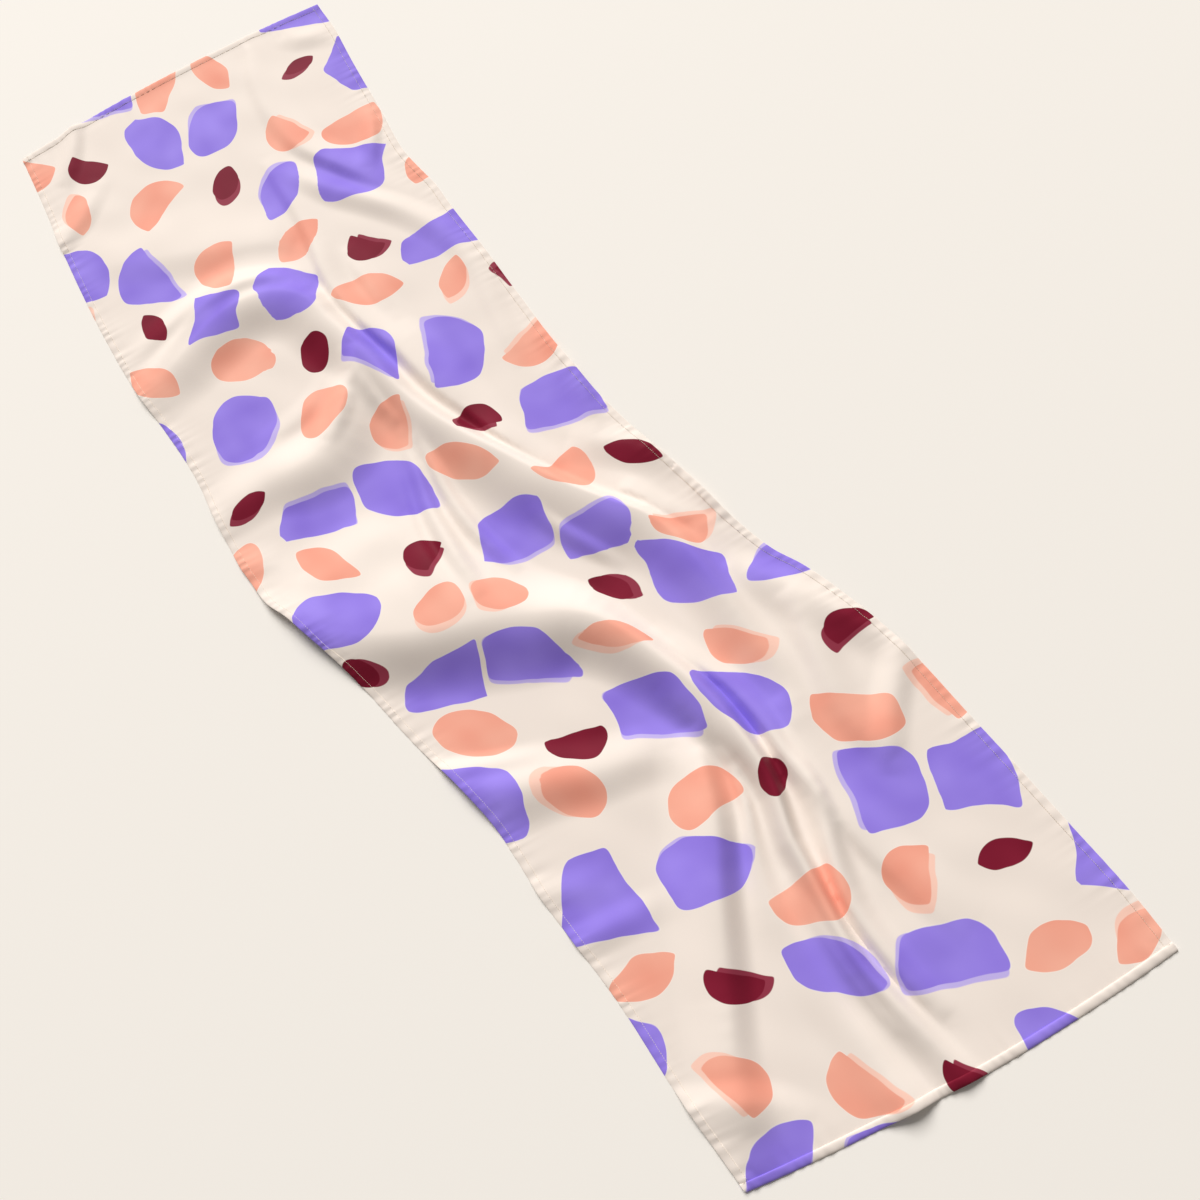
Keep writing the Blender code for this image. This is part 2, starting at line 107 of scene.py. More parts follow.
# The folds, in mm. A row is a point of the crest, its height, and how far the cloth takes
# to come down on the left and on the right of someone who walks down the table's rows.
FOLDS = {
    "upper_long_fold": (
        # x,    y,  height, left, right
        (-300, 404, 4, 46, 56),
        (-250, 409, 7, 46, 60),
        (-199, 416, 11, 46, 66),
        (-149, 429, 14, 46, 72),
        (-109, 434, 17, 46, 70),
        (-80, 431, 18, 44, 70),
        (-48, 420, 18, 43, 70),
        (-25, 400, 19, 40, 70),
        (-8, 367, 20, 34, 70),
        (-4, 331, 20, 27, 68),
        (2, 290, 21, 25, 60),
        (7, 251, 22, 24, 50),
        (10, 211, 22, 23, 46),
        (13, 175, 22, 22, 46),
        (19, 143, 22, 22, 50),
        (27, 109, 23, 22, 56),
        (37, 79, 24, 22, 64),
        (64, 11, 25, 22, 74),
        (94, -62, 25, 22, 80),
        (130, -129, 23, 22, 80),
        (147, -157, 21, 22, 76),
        (158, -195, 19, 24, 66),
        (160, -240, 18, 26, 56),
        (157, -290, 15, 28, 50),
        (155, -340, 11, 30, 44),
        (152, -400, 6, 32, 38),
        (150, -460, 2, 34, 34),
        (148, -510, 0, 34, 34),
    ),
    "lower_long_fold": (
        (-300, 44, 4, 80, 52),
        (-275, 16, 9, 110, 58),
        (-252, -13, 14, 150, 64),
        (-225, -45, 19, 178, 70),
        (-200, -70, 24, 190, 76),
        (-150, -106, 28, 195, 83),
        (-100, -135, 28, 175, 88),
        (-50, -164, 27, 90, 90),
        (-20, -186, 27, 66, 84),
        (4, -203, 27, 52, 78),
        (22, -222, 28, 42, 73),
        (36, -248, 28, 34, 68),
        (46, -276, 28, 29, 63),
        (54, -308, 27, 26, 60),
        (62, -340, 26, 24, 58),
        (68, -370, 26, 22, 56),
        (71, -400, 25, 20, 50),
        (71, -430, 25, 18, 42),
        (70, -460, 24, 17, 34),
        (67, -485, 23, 16, 29),
        (61, -510, 22, 16, 26),
        (51, -535, 21, 16, 25),
        (42, -560, 20, 16, 24),
        (36, -590, 19, 16, 24),
        (30, -620, 18, 16, 24),
        (22, -660, 18, 16, 24),
        (17, -700, 17, 17, 25),
        (19, -745, 15, 18, 27),
        (23, -790, 11, 20, 30),
        (29, -840, 6, 24, 32),
        (36, -900, 4, 28, 36),
    ),
    "far_diagonal_fold": (
        (-240, 655, 0, 60, 42),
        (-188, 622, 3, 80, 44),
        (-138, 590, 4, 90, 46),
        (-88, 556, 5, 90, 48),
        (-38, 523, 5, 80, 48),
        (2, 496, 4, 60, 42),
        (27, 470, 0, 40, 32),
    ),
    "arch_shoulder_fold": (
        (-262, 470, 0, 30, 22),
        (-210, 476, 3, 32, 24),
        (-150, 477, 4, 34, 24),
        (-100, 473, 4, 34, 24),
        (-60, 461, 5, 30, 22),
        (-25, 442, 4, 24, 20),
        (0, 420, 0, 20, 18),
    ),
    "hollow_side_fold": (
        (-275, 182, 4, 50, 44),
        (-235, 188, 7, 56, 46),
        (-190, 187, 10, 60, 54),
        (-150, 174, 15, 62, 68),
        (-110, 171, 16, 62, 72),
        (-80, 184, 16, 58, 68),
        (-57, 204, 16, 50, 60),
        (-37, 226, 13, 42, 50),
        (-17, 250, 6, 36, 42),
        (0, 272, 0, 30, 34),
    ),
    "hollow_foot_fold": (
        (-225, 56, 0, 56, 56),
        (-190, 38, 4, 60, 60),
        (-150, 30, 5, 62, 62),
        (-110, 30, 4, 60, 60),
        (-75, 38, 0, 56, 56),
    ),
    "far_right_fold": (
        (165, 832, 0, 30, 18),
        (145, 788, 3, 36, 20),
        (126, 742, 4, 42, 22),
        (117, 700, 4, 45, 22),
        (113, 650, 4, 45, 22),
        (116, 605, 5, 42, 20),
        (130, 566, 6, 40, 19),
        (146, 530, 6, 38, 19),
        (160, 495, 4, 36, 20),
        (175, 455, 2, 34, 22),
        (192, 412, 0, 30, 22),
    ),
    "far_slant_fold": (
        (78, 592, 0, 24, 24),
        (94, 545, 5, 28, 27),
        (114, 503, 7, 28, 29),
        (136, 468, 7, 26, 30),
        (156, 434, 7, 26, 30),
        (174, 396, 6, 28, 30),
        (190, 350, 5, 30, 28),
        (195, 300, 5, 30, 26),
        (190, 250, 4, 28, 24),
        (177, 200, 4, 26, 22),
        (165, 150, 3, 24, 22),
        (155, 105, 0, 22, 20),
    ),
    "right_hem_fold": (
        (214, 135, 0, 16, 34),
        (210, 92, 6, 16, 34),
        (201, 50, 7, 16, 34),
        (188, 8, 6, 18, 34),
        (178, -35, 0, 20, 34),
    ),
    "edge_fold_middle": (
        (-262, -240, 3, 44, 50),
        (-235, -270, 8, 48, 60),
        (-200, -303, 11, 50, 66),
        (-165, -328, 11, 50, 56),
        (-120, -350, 9, 48, 48),
        (-75, -370, 8, 46, 44),
        (-40, -384, 7, 44, 40),
        (-15, -394, 3, 42, 38),
        (5, -402, 0, 40, 38),
    ),
    "edge_fold_near": (
        (-215, -438, 3, 26, 24),
        (-190, -450, 3, 26, 25),
        (-165, -462, 2, 26, 26),
        (-140, -472, 0, 26, 26),
    ),
    "edge_fold_nearer": (
        (-218, -504, 3, 24, 26),
        (-185, -510, 4, 24, 28),
        (-145, -518, 3, 24, 28),
        (-108, -526, 1, 24, 28),
        (-80, -535, 0, 24, 28),
    ),
    "edge_fold_nearest": (
        (-225, -702, 4, 28, 40),
        (-190, -718, 5, 28, 42),
        (-160, -738, 5, 28, 44),
        (-135, -762, 3, 28, 42),
        (-118, -790, 0, 26, 36),
    ),
    "branch_fold": (
        (34, -395, 0, 24, 44),
        (24, -422, 9, 24, 54),
        (10, -452, 15, 25, 62),
        (-3, -481, 18, 28, 66),
        (-22, -512, 19, 31, 66),
        (-48, -547, 19, 32, 66),
        (-72, -582, 18, 32, 64),
        (-97, -620, 16, 33, 62),
        (-122, -658, 13, 33, 58),
        (-146, -695, 8, 33, 50),
        (-162, -730, 4, 32, 42),
        (-174, -765, 0, 30, 40),
    ),
    "near_middle_fold": (
        (42, -430, 0, 9, 10),
        (42, -455, 4, 9, 11),
        (36, -480, 7, 10, 13),
        (27, -505, 8, 12, 15),
        (14, -528, 7, 15, 17),
        (0, -555, 6, 18, 22),
        (-16, -600, 5, 20, 36),
        (-22, -660, 4, 20, 42),
        (-28, -720, 5, 22, 40),
        (-30, -780, 7, 26, 40),
        (-30, -840, 11, 32, 44),
        (-30, -900, 12, 36, 46),
    ),
    "right_edge_fold": (
        (188, -262, 0, 24, 30),
        (208, -302, 6, 28, 36),
        (226, -345, 8, 30, 38),
        (244, -388, 8, 28, 38),
        (260, -433, 5, 24, 34),
        (270, -480, 0, 20, 30),
    ),
    "right_inner_fold": (
        (214, -335, 0, 34, 26),
        (210, -372, 8, 36, 28),
        (202, -408, 10, 40, 29),
        (191, -442, 10, 42, 29),
        (181, -480, 8, 42, 28),
        (181, -520, 6, 40, 28),
        (188, -560, 0, 36, 26),
    ),
    "right_near_fold": (
        (275, -472, 4, 26, 30),
        (248, -492, 6, 26, 30),
        (222, -515, 6, 26, 30),
        (196, -542, 4, 26, 30),
        (172, -572, 0, 26, 30),
    ),
    "far_left_fold": (
        (-255, 700, 4, 40, 26),
        (-230, 708, 5, 40, 26),
        (-200, 716, 5, 40, 26),
        (-165, 738, 4, 40, 26),
        (-135, 765, 0, 40, 26),
    ),
    "far_hem_tuck_left": (
        (-122, 868, 5, 20, 30),
        (-140, 838, 6, 20, 30),
        (-162, 810, 4, 22, 30),
        (-185, 790, 0, 22, 30),
    ),
}

# Creases and lower folds beside them, finer than a plain model of the cloth needs, with the
# same columns.
CREASES = {
    "left_edge_fold": (
        (-292, 118, 2, 34, 26),
        (-272, 108, 3, 34, 26),
        (-252, 98, 2, 34, 26),
        (-232, 88, 0, 34, 26),
    ),
    "left_edge_lift": (
        (-300, 34, 7, 50, 40),
        (-275, 14, 6, 50, 40),
        (-250, -10, 3, 46, 36),
        (-228, -32, 0, 40, 32),
    ),
    "middle_fold": (
        (-48, 110, 0, 16, 34),
        (-72, 40, 4, 16, 38),
        (-86, -20, 5, 18, 40),
        (-88, -75, 4, 20, 40),
        (-78, -125, 0, 20, 36),
    ),
    "near_right_fold": (
        (130, -425, 0, 30, 14),
        (128, -450, 5, 34, 16),
        (119, -480, 5, 38, 17),
        (110, -510, 6, 40, 17),
        (104, -535, 7, 46, 16),
        (101, -570, 8, 46, 17),
        (101, -610, 7, 46, 18),
        (107, -650, 5, 46, 20),
        (115, -700, 3, 50, 22),
        (130, -745, 0, 46, 24),
    ),
    "right_slope_fold": (
        (138, -14, 0, 30, 36),
        (165, -42, 5, 32, 38),
        (190, -70, 7, 32, 38),
        (214, -102, 6, 32, 38),
        (232, -135, 0, 30, 36),
    ),
    "far_hem_tuck_right": (
        (200, 790, 0, 26, 26),
        (214, 768, 3, 26, 26),
        (236, 752, 3, 26, 26),
        (258, 742, 0, 24, 26),
    ),
    "beside_upper_fold": (
        (66, 620, 0, 40, 14),
        (60, 560, 4, 40, 15),
        (54, 500, 5, 40, 15),
        (45, 450, 7, 40, 15),
        (32, 400, 9, 40, 14),
        (27, 360, 10, 40, 14),
        (29, 320, 10, 42, 14),
        (37, 270, 11, 48, 15),
        (45, 235, 12, 54, 16),
        (48, 195, 12, 56, 16),
        (53, 150, 10, 56, 15),
        (66, 100, 6, 46, 12),
        (76, 50, 8, 36, 9),
        (95, -5, 3, 28, 8),
        (112, -40, 0, 24, 7),
    ),
    "upper_fold_foot": (
        (-8, 264, 0, 12, 24),
        (-15, 236, 4, 12, 26),
        (-18, 200, 6, 12, 26),
        (-18, 170, 4, 12, 24),
        (-14, 140, 0, 12, 20),
    ),
    "beside_upper_tail": (
        (150, -105, 0, 24, 7),
        (158, -122, 4, 24, 8),
        (167, -148, 5, 24, 8),
        (178, -178, 4, 24, 8),
        (184, -200, 0, 24, 7),
    ),
    "on_upper_flank": (
        (50, -60, 0, 14, 16),
        (58, -100, 4, 14, 18),
        (72, -140, 4, 14, 18),
        (82, -165, 3, 14, 16),
        (92, -195, 0, 14, 14),
    ),
    "beside_lower_fold": (
        (66, -275, 0, 26, 8),
        (76, -305, 4, 26, 8),
        (87, -345, 6, 26, 9),
        (97, -385, 9, 26, 10),
        (100, -420, 11, 26, 12),
        (100, -450, 13, 24, 13),
        (98, -480, 14, 20, 16),
        (97, -505, 15, 18, 21),
        (94, -535, 15, 18, 25),
        (86, -560, 14, 20, 24),
        (67, -600, 14, 24, 18),
        (50, -645, 13, 26, 15),
        (45, -700, 12, 26, 15),
        (46, -750, 8, 26, 14),
        (52, -795, 0, 26, 12),
    ),
    "lower_flank_foot": (
        (30, -340, 0, 20, 22),
        (42, -370, 3, 22, 24),
        (46, -400, 4, 22, 24),
        (46, -430, 3, 20, 22),
        (44, -455, 0, 18, 20),
    ),
    "near_flank_foot": (
        (20, -580, 0, 10, 20),
        (12, -615, 4, 10, 22),
        (5, -655, 5, 10, 22),
        (0, -700, 5, 10, 22),
        (0, -745, 3, 10, 22),
        (4, -780, 0, 10, 20),
    ),
    "hollow_left": (
        (-14, 140, 0, 12, 16),
        (-32, 75, 7, 14, 18),
        (-48, 15, 10, 15, 22),
        (-54, -40, 11, 16, 24),
        (-58, -85, 6, 16, 22),
        (-60, -125, 0, 14, 18),
    ),
    "hollow_right": (
        (-6, 120, 0, 12, 14),
        (-14, 60, 8, 14, 16),
        (-20, 0, 10, 14, 20),
        (-20, -45, 10, 14, 20),
        (-14, -85, 5, 14, 18),
        (-6, -120, 0, 14, 16),
    ),
    "above_hollow_side": (
        (-185, 236, 0, 26, 22),
        (-140, 240, 2, 26, 22),
        (-100, 242, 2, 26, 22),
        (-66, 254, 2, 26, 22),
        (-42, 270, 0, 26, 22),
    ),
    "hollow_side_rim": (
        (-100, 180, 0, 30, 18),
        (-76, 191, 4, 30, 20),
        (-57, 207, 5, 30, 20),
        (-40, 227, 4, 30, 20),
        (-24, 246, 0, 30, 18),
    ),
    "above_edge_fold": (
        (-240, -240, 0, 18, 18),
        (-215, -262, 3, 18, 18),
        (-175, -283, 3, 18, 18),
        (-135, -303, 2, 18, 18),
        (-105, -318, 0, 18, 18),
    ),
    "right_of_arch": (
        (75, 420, 0, 24, 14),
        (70, 370, 4, 24, 16),
        (68, 320, 4, 24, 16),
        (70, 270, 0, 24, 14),
    ),
    "above_arch": (
        (-255, 434, 0, 50, 26),
        (-205, 446, 4, 52, 28),
        (-155, 461, 8, 55, 28),
        (-108, 467, 9, 55, 28),
        (-70, 463, 9, 55, 28),
        (-35, 449, 7, 50, 28),
        (-6, 424, 4, 40, 26),
        (12, 392, 0, 30, 24),
    ),
    "right_edge_tuck": (
        (224, 595, 0, 16, 28),
        (216, 562, 4, 16, 28),
        (201, 536, 5, 16, 28),
        (186, 515, 3, 16, 28),
        (172, 500, 0, 16, 28),
    ),
    "right_hem_tuck": (
        (232, -122, 0, 12, 22),
        (233, -146, 5, 12, 26),
        (232, -175, 7, 12, 28),
        (236, -205, 6, 12, 28),
        (243, -230, 0, 12, 24),
    ),
    "branch_tail": (
        (-116, -645, 0, 36, 60),
        (-138, -680, 5, 38, 60),
        (-154, -710, 8, 42, 62),
        (-168, -740, 9, 44, 62),
        (-181, -770, 6, 42, 56),
        (-190, -800, 0, 36, 50),
    ),
}
CREST_STEP = 18 * MM        # a crest is read this often along its way
CREST_BLEND = 9 * MM        # how softly one stretch of a crest hands over to the next
SHOULDER = 0.95             # under 1, a fold's top is narrower than its foot
DRAW_IN_CORE = 16 * MM      # a fold takes up cloth from this close on either side,
DRAW_IN_REACH = 120 * MM    # and the cloth round it makes way out to here
DRAW_IN_SHARE = 0.4         # of the fold's height, at most

# Where it lies flat the cloth still has slow waves, and along its seams it is gathered.
WAVE_HEIGHT = 0.32 * MM
WAVE_LENGTHS = (150 * MM, 118 * MM, 93 * MM, 74 * MM, 58 * MM)
WAVE_MEANDER = 3            # how far a wave's crests wander, in radians
GOLDEN_ANGLE = math.radians(137.5)
PUCKER_HEIGHT = 1.6 * MM
PUCKER_LENGTH = 13.5 * MM   # from one pucker to the next
PUCKER_REACH = 13 * MM      # they die away over this distance
PUCKER_DRIFT = 2.2          # how unevenly they are spaced, in radians,
PUCKER_DRIFT_TURNS = 5.3    # and over how many of them
PUCKER_VARIETY = 0.35       # how much lower some are than others,
PUCKER_VARIETY_TURNS = 3.1  # and over how many of them
PUCKER_PATCH = 190 * MM     # the seam is gathered more here and there, this far apart
PUCKER_LEAST = 0.32         # and this much of it in between
SEAM_LIFT = 0.2 * MM        # the cloth climbs this much onto its hem,
SEAM_CLIMB = 9 * MM         # over this distance
RIM_IN_HEM = 1.2 * MM       # and its rim is hidden this far inside it

SIDE_COLUMNS = 8            # squares across the strip along each long edge,
SIDE_STRIP = 24 * MM        # which is this wide
MIDDLE_COLUMNS = 98
CLOTH_ROWS = 428
CHUNK = 8000                # points that are worked out at a time
SMOOTH_UP_TO = math.radians(60)     # a sharper edge than this keeps its corner


def smooth_curve(knots, values, at):
    """Read a smooth curve through (knots, values) at the given places."""
    knots = np.asarray(knots, float)
    values = np.asarray(values, float)
    slopes = np.gradient(values, knots, axis=0)
    index = np.clip(np.searchsorted(knots, at, side="right") - 1, 0, len(knots) - 2)
    span = knots[index + 1] - knots[index]
    part = (at - knots[index]) / span
    if values.ndim > 1:
        span = span[..., None]
        part = part[..., None]
    start = (1 + 2 * part) * (1 - part) ** 2 * values[index]
    start_slope = part * (1 - part) ** 2 * span * slopes[index]
    end = part ** 2 * (3 - 2 * part) * values[index + 1]
    end_slope = part ** 2 * (part - 1) * span * slopes[index + 1]
    return start + start_slope + end + end_slope


def ease(value):
    """Go from 0 to 1 with no kink at either end."""
    value = np.clip(value, 0.0, 1.0)
    return value * value * (3 - 2 * value)


def read_edge(table, along):
    """Give where the points of a long edge lie."""
    rows = np.array(table, float) * MM
    return smooth_curve(rows[:, 0], rows[:, 1:], along)


def read_fold(table):
    """Give the crest's points with their height, left width and right width."""
    rows = np.array(table, float) * MM
    steps = np.linalg.norm(np.diff(rows[:, :2], axis=0), axis=1)
    walked = np.concatenate([[0.0], np.cumsum(steps)])
    count = int(walked[-1] / CREST_STEP) + 2
    return smooth_curve(walked, rows, np.linspace(0, walked[-1], count))


CRESTS = [read_fold(table) for table in (*FOLDS.values(), *CREASES.values())]
LONG_CRESTS = CRESTS[:2]


def nearest_on_crest(crest, points):
    """Give each point's distance to the crest (left is +), its sizes there and its left."""
    start = crest[:-1, :2]
    run = crest[1:, :2] - start
    length = np.linalg.norm(run, axis=1)
    run = run / length[:, None]
    offset = points[:, None, :] - start[None, :, :]
    walked = np.clip((offset * run).sum(axis=2), 0.0, length)
    aside = offset - walked[:, :, None] * run
    distance = np.linalg.norm(aside, axis=2)
    side = np.sign(run[:, 0] * offset[:, :, 1] - run[:, 1] * offset[:, :, 0])
    closest = distance.min(axis=1)
    weight = np.exp(-(distance - closest[:, None]) / CREST_BLEND)
    weight = weight / weight.sum(axis=1)[:, None]
    part = walked / length
    sizes = crest[:-1, 2:] + part[:, :, None] * (crest[1:, 2:] - crest[:-1, 2:])
    sizes = (weight[:, :, None] * sizes).sum(axis=1)
    best = distance.argmin(axis=1)
    picked = np.arange(len(points))
    direction = np.stack([-run[best, 1], run[best, 0]], axis=1)
    return side[picked, best] * closest, sizes, direction


def draw_into_folds(points):
    """Move the cloth sideways towards each long crest, which takes up more than it covers."""
    moved = points.copy()
    for crest in LONG_CRESTS:
        distance, sizes, direction = nearest_on_crest(crest, points)
        reach = np.exp(-0.5 * (distance / DRAW_IN_REACH) ** 2)
        widths = sizes[:, 1:]
        steeper = 0.5 * (widths[:, 1] - widths[:, 0]) * widths.min(axis=1) / widths.max(axis=1)
        side = np.tanh((distance - steeper) / DRAW_IN_CORE)
        pull = DRAW_IN_SHARE * sizes[:, 0] * side * reach
        moved -= pull[:, None] * direction
    return moved


def fold_height(points):
    """Add up the heights of the folds that pass near each point."""
    height = np.zeros(len(points))
    for crest in CRESTS:
        widest = crest[:, 3:].max()
        lowest = crest[:, :2].min(axis=0) - widest
        highest = crest[:, :2].max(axis=0) + widest
        near = np.flatnonzero(((points > lowest) & (points < highest)).all(axis=1))
        if len(near) == 0:
            continue
        distance, sizes, _ = nearest_on_crest(crest, points[near])
        width = np.where(distance > 0, sizes[:, 1], sizes[:, 2])
        share = np.clip(np.abs(distance) / width, 0.0, 1.0) ** SHOULDER
        height[near] += np.maximum(sizes[:, 0], 0.0) * 0.5 * (1 + np.cos(math.pi * share))
    return height


def slow_waves(points):
    """Give the height of the waves that cross the cloth in every direction, from 0 up."""
    height = np.zeros(len(points))
    for turn, wave in enumerate(WAVE_LENGTHS):
        heading = turn * GOLDEN_ANGLE
        walked = points[:, 0] * math.cos(heading) + points[:, 1] * math.sin(heading)
        sideways = points[:, 1] * math.cos(heading) - points[:, 0] * math.sin(heading)
        meander = WAVE_MEANDER * np.sin(sideways / wave)
        height += 1 + np.sin(2 * math.pi * walked / wave + meander + turn)
    return WAVE_HEIGHT * height / 2


def inside_edges(across, along):
    """Give how far in from the nearest edge each place is, and where it is along that edge."""
    side = np.minimum(across, CLOTH_WIDTH - across)
    end = np.minimum(along, CLOTH_LENGTH - along)
    return np.minimum(side, end), np.where(side < end, along, across)


def drifting(swell):
    """Space a row of puckers unevenly: now closer, now further apart."""
    return swell + PUCKER_DRIFT * np.sin(swell / PUCKER_DRIFT_TURNS)


def seam_gathers(across, along):
    """Give the height of the small puckers that the stitching pulls up beside a seam."""
    inside, place = inside_edges(across, along)
    edge = 2.0 * (across > CLOTH_WIDTH / 2) + 1.0 * (along > CLOTH_LENGTH / 2)
    swell = 2 * math.pi * place / PUCKER_LENGTH + edge
    variety = 1 - PUCKER_VARIETY + PUCKER_VARIETY * np.sin(swell / PUCKER_VARIETY_TURNS)
    ripple = variety * np.sin(drifting(swell))

    # Two sines that never fall in step, so no stretch of a seam repeats another.
    patch = 2 * math.pi * place / PUCKER_PATCH + 2.3 * edge
    patchy = ease(0.4 + 0.6 * np.sin(patch) + 0.35 * np.sin(2.7 * patch))
    strength = PUCKER_LEAST + (1 - PUCKER_LEAST) * patchy
    fade = np.exp(-np.abs(inside - HEM_WIDTH) / PUCKER_REACH)
    return PUCKER_HEIGHT * strength * (1 + ripple) / 2 * fade


def cloth_points(across, along):
    """Place points of the flat cloth on its underside, as it lies on the table."""
    left = read_edge(LEFT_EDGE, along)
    right = read_edge(RIGHT_EDGE, along)
    share = (across / CLOTH_WIDTH)[:, None]
    plan = left * (1 - share) + right * share
    bow = 4 * share[:, 0] * (1 - share[:, 0]) * END_BOW
    plan[:, 1] += bow * (2 * along / CLOTH_LENGTH - 1) ** 3
    plan = draw_into_folds(plan)
    inside, _ = inside_edges(across, along)
    height = fold_height(plan)
    height += slow_waves(plan) * ease(inside / SIDE_STRIP)
    height += FAR_END_CURL * ease(1 - (CLOTH_LENGTH - along) / FAR_END_CURL_LENGTH)
    return np.column_stack([plan, height])


def in_chunks(place, across, along):
    """Work out place(across, along) for a stretch of points at a time."""
    parts = []
    for start in range(0, len(across), CHUNK):
        parts.append(place(across[start:start + CHUNK], along[start:start + CHUNK]))
    return np.concatenate(parts)


def panel_points(across, along):
    """Place the panel's underside: the lying cloth, lifted onto its hems and gathered there."""
    inside, _ = inside_edges(across, along)
    lift = SEAM_LIFT * (1 - ease((inside - HEM_WIDTH) / SEAM_CLIMB)) + seam_gathers(across, along)
    points = cloth_points(across, along)
    points[:, 2] += lift
    return points


def grid_piece(name, columns, rows):
    """Add a grid with these columns and rows, and give it with each point's column and row."""
    bpy.ops.object.select_all(action="DESELECT")
    bpy.ops.mesh.primitive_grid_add(
        x_subdivisions=columns - 1,
        y_subdivisions=rows - 1,
        size=2.0,
    )
    piece = bpy.context.object
    piece.name = name
    piece.data.name = name
    flat = np.empty(len(piece.data.vertices) * 3)
    piece.data.vertices.foreach_get("co", flat)
    flat = flat.reshape(-1, 3)
    column = np.rint((flat[:, 0] + 1) / 2 * (columns - 1)).astype(int)
    row = np.rint((flat[:, 1] + 1) / 2 * (rows - 1)).astype(int)
    return piece, column, row


def lay_print(mesh, across, along):
    """Write each point's place on the flat cloth into the UV map, which the print follows."""
    corner_points = np.empty(len(mesh.loops), dtype=np.int32)
    mesh.loops.foreach_get("vertex_index", corner_points)
    places = np.column_stack([across / CLOTH_WIDTH, along / CLOTH_LENGTH])[corner_points]
    mesh.uv_layers.active.data.foreach_set("uv", places.astype(np.float32).ravel())


def split_along_folds(mesh, across, along):
    """Split each square on the diagonal that lies nearer to the cloth at its middle."""
    shape = bmesh.new()
    shape.from_mesh(mesh)
    squares = shape.faces[:]
    corners = np.array([[vert.index for vert in square.verts] for square in squares])
    heights = np.array([vert.co.z for vert in shape.verts])[corners]
    middle_across = across[corners].mean(axis=1)
    middle_along = along[corners].mean(axis=1)
    middles = in_chunks(panel_points, middle_across, middle_along)
    first_off = np.abs(heights[:, 0] + heights[:, 2] - 2 * middles[:, 2])
    second_off = np.abs(heights[:, 1] + heights[:, 3] - 2 * middles[:, 2])
    for square, starts_at in zip(squares, (second_off < first_off).astype(int)):
        bmesh.utils.face_split(square, square.verts[starts_at], square.verts[starts_at + 2])
    shape.to_mesh(mesh)
    shape.free()


panel_inset = HEM_WIDTH - RIM_IN_HEM
side_strip = np.linspace(panel_inset, SIDE_STRIP, SIDE_COLUMNS + 1)
middle_strip = np.linspace(SIDE_STRIP, CLOTH_WIDTH - SIDE_STRIP, MIDDLE_COLUMNS + 1)
column_places = np.concatenate([side_strip[:-1], middle_strip, CLOTH_WIDTH - side_strip[-2::-1]])
row_places = np.linspace(panel_inset, CLOTH_LENGTH - panel_inset, CLOTH_ROWS + 1)

panel, panel_column, panel_row = grid_piece("printed_panel", len(column_places), len(row_places))
panel_across = column_places[panel_column]
panel_along = row_places[panel_row]
panel_shape = in_chunks(panel_points, panel_across, panel_along)
panel.data.vertices.foreach_set("co", panel_shape.astype(np.float32).ravel())
lay_print(panel.data, panel_across, panel_along)
split_along_folds(panel.data, panel_across, panel_along)
wall = panel.modifiers.new("cloth_thickness", "SOLIDIFY")
wall.thickness = CLOTH_THICKNESS
wall.offset = 1.0
bpy.ops.object.modifier_apply(modifier=wall.name)
bpy.ops.object.shade_smooth_by_angle(angle=SMOOTH_UP_TO)

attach(panel, "root")
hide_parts("cloth_panel")

# --------------------------------------------------------------------------
# The print: flat dabs of violet, coral and maroon ink on the cream cloth, as large as a palm,
# a leaf or a pebble. Some have a second, thinner coat that slipped, so a pale lip shows, and
# each keeps a fine undyed line round it.
MOTIF_PITCH = 101 * MM      # from the middle of one dab to the next
MOTIF_TURN = math.radians(24)
MOTIF_SCATTER = 0.45
MOTIF_CLEARANCE = 3.5 * MM  # cloth left bare between two dabs, on each side
DAB_ROUNDING = 12 * MM      # how widely a dab's corners are rounded where two dabs meet
DAB_SCALES = (0.85, 1.2)    # the largest and the smallest dab of an ink, as 1 / size
HALF_MOON_CUT = 0.28        # its flat side's place, in dab sizes from the middle,
HALF_MOON_CORNER = 0.12     # and how round its two corners are
LEAF_MIDDLES = (0.75, -0.62)            # the two circles that cut a leaf out,
LEAF_RADIUS = 1.2
LEAF_TIP = 0.1              # and how round its tips are
PEBBLE_RADIUS = 0.95
PEBBLE_SQUASH = 1.35
LEAVES_FROM = 0.42          # the share of half moons,
PEBBLES_FROM = 0.74         # and of half moons and leaves; the rest are pebbles
BRUSH_LENGTH = 50 * MM      # a painted edge wanders over this length,
BRUSH_WOBBLE = 17 * MM      # and this far at most to either side
INK_EDGE = 0.45 * MM        # how softly an ink ends
BARE_LINE = 1.1 * MM
BARE_LINE_STRENGTH = 0.8
SECOND_COAT_SLIP = (9 * MM, 5.4 * MM)
SECOND_COAT_FROM = 0.5      # half of the dabs have a second coat
WASH_LENGTH = 60 * MM       # an ink is deeper and lighter over this length
THREAD_PITCH = 0.9 * MM     # real threads are 0.1 mm apart, drawn coarser so that they show
FLOAT_OVER = 5              # a thread lies on top over this many others

CREAM = "#F0E4DB"
BARE_CREAM = "#FBF5EC"
VIOLET = ("#8B74DC", "#A08BEE", "#C2B3EC")      # deeper, lighter, second coat
CORAL = ("#F09E88", "#F9B6A0", "#FACDBC")
MAROON = ("#701428", "#852036", "#92384A")
INKS = {
    # ink: colours, dab's half length
    "violet": (VIOLET, 63 * MM),
    "coral": (CORAL, 41 * MM),
    "maroon": (MAROON, 29 * MM),
}
INK_CYCLE = 5               # of five dabs in a row, the first two are violet,
CORAL_FROM = 1.5            # the next two are coral,
MAROON_FROM = 3.5           # and the last is maroon


